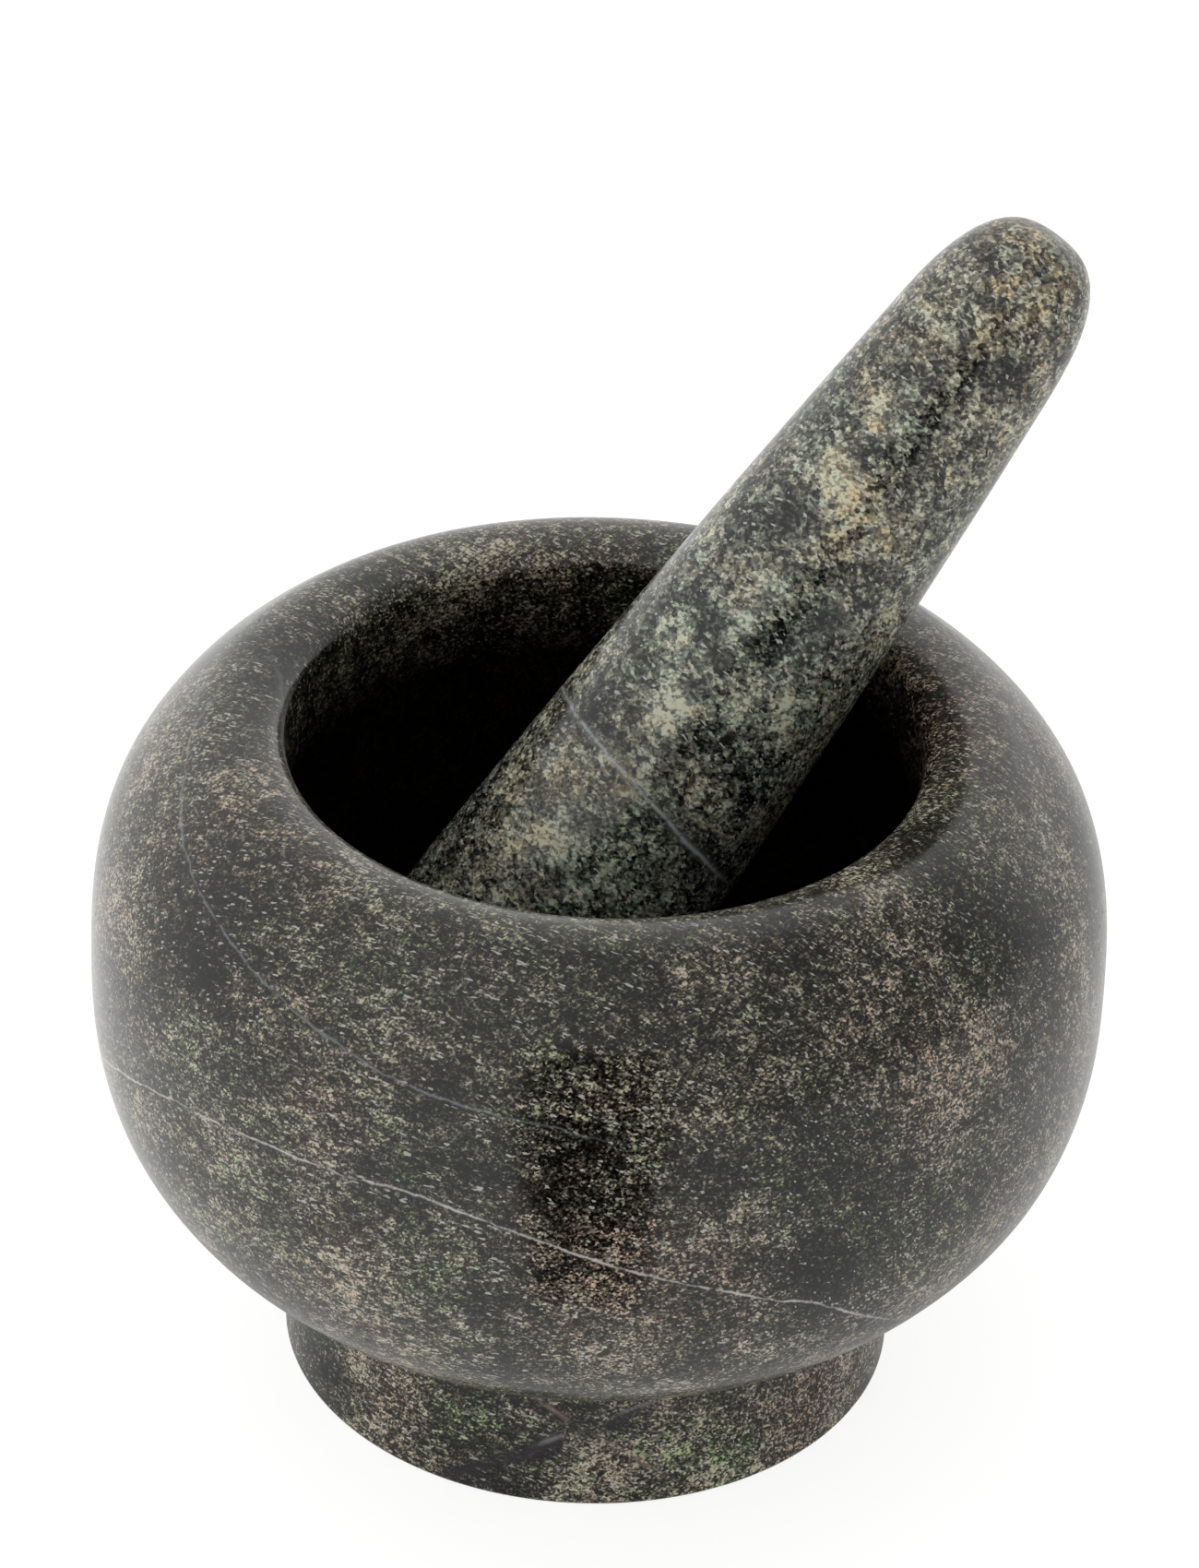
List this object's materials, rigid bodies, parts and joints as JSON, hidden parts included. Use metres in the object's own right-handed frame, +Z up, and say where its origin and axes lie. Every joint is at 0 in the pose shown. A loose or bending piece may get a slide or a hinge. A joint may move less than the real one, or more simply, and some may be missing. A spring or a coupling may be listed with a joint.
{
  "type": "mortar and pestle",
  "caption": "Round-bellied granite mortar on a short foot, with a loose tapered pestle leaning on its rim.",
  "frame": {"origin": "centre of the foot's flat underside", "axes": "+Z up along the mortar's axis; the pestle leans towards +X and a little towards +Y; -Y is the front"},
  "size_m": [0.15, 0.15, 0.1735],
  "materials": {
    "mortar_granite": "dark speckled granite, honed to a satin sheen",
    "pestle_granite": "grey-green speckled granite, honed to a satin sheen"
  },
  "bodies": {
    "mortar": {"mortar": "mortar_granite"},
    "pestle": {"pestle": "pestle_granite"}
  },
  "joints": [
    {"name": "pestle_lift", "type": "slide", "parent": "mortar", "child": "pestle", "axis": [0, 0, 1], "range_m": [0, 0.11]}
  ]
}
